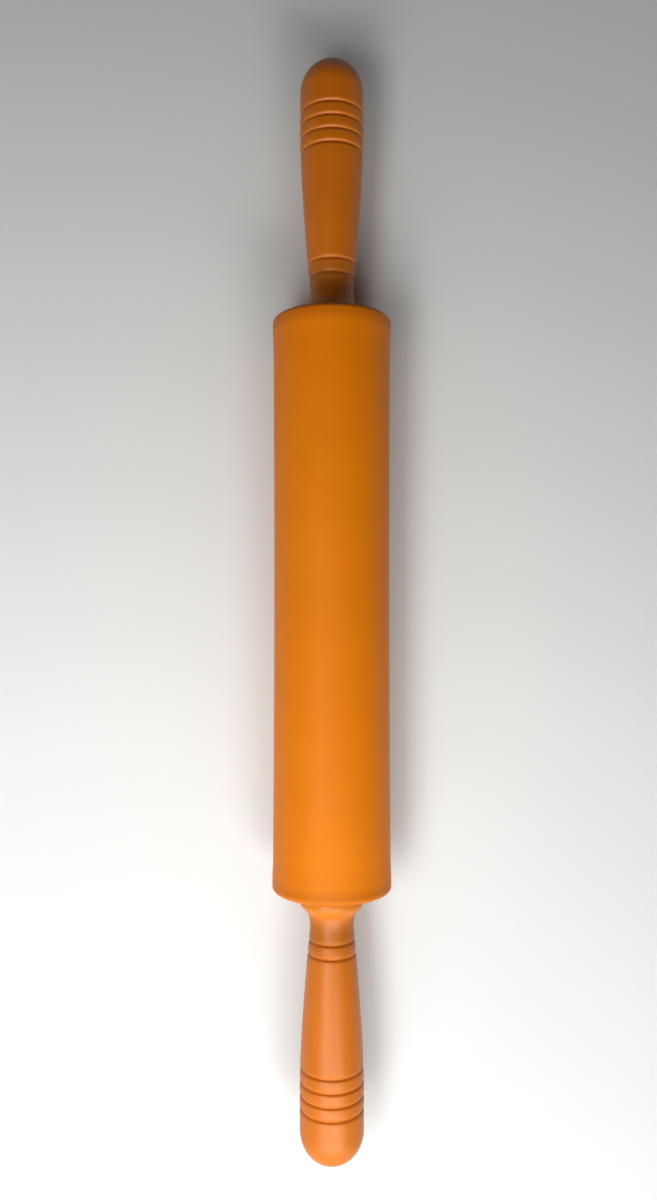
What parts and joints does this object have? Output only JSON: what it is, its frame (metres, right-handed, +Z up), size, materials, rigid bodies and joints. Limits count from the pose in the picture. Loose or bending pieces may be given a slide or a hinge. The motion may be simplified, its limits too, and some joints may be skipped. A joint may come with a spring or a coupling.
{
  "type": "rolling pin",
  "caption": "Rolling pin whose silicone-covered barrel turns freely on a steel axle between ring-grooved plastic handles with domed ends.",
  "frame": {"origin": "on the table under the middle of the pin, at the bottom centre of its box", "axes": "+X along the pin's length, +Y across it, +Z up from the table; the axle lies 24.5 mm above the table"},
  "size_m": [0.456, 0.049, 0.049],
  "materials": {
    "orange_silicone": "matte orange silicone, moulded smooth",
    "orange_plastic": "satin orange moulded plastic",
    "core_plastic": "off-white moulded plastic",
    "white_nylon": "natural nylon",
    "axle_steel": "drawn bright steel"
  },
  "bodies": {
    "axle_and_handles": {"axle_rod": "axle_steel", "left_thrust_washer": "white_nylon", "left_handle": "orange_plastic", "left_end_cap": "orange_plastic", "left_nut_washer": "axle_steel", "left_nut": "axle_steel", "right_thrust_washer": "white_nylon", "right_handle": "orange_plastic", "right_end_cap": "orange_plastic", "right_nut_washer": "axle_steel", "right_nut": "axle_steel"},
    "barrel": {"silicone_sleeve": "orange_silicone", "core_tube": "core_plastic", "left_hub": "orange_plastic", "left_bush": "white_nylon", "right_hub": "orange_plastic", "right_bush": "white_nylon"}
  },
  "joints": [
    {"name": "barrel_spin", "type": "hinge", "parent": "axle_and_handles", "child": "barrel", "pos_m": [0, 0, 0.0245], "axis": [1, 0, 0], "continuous": true}
  ]
}
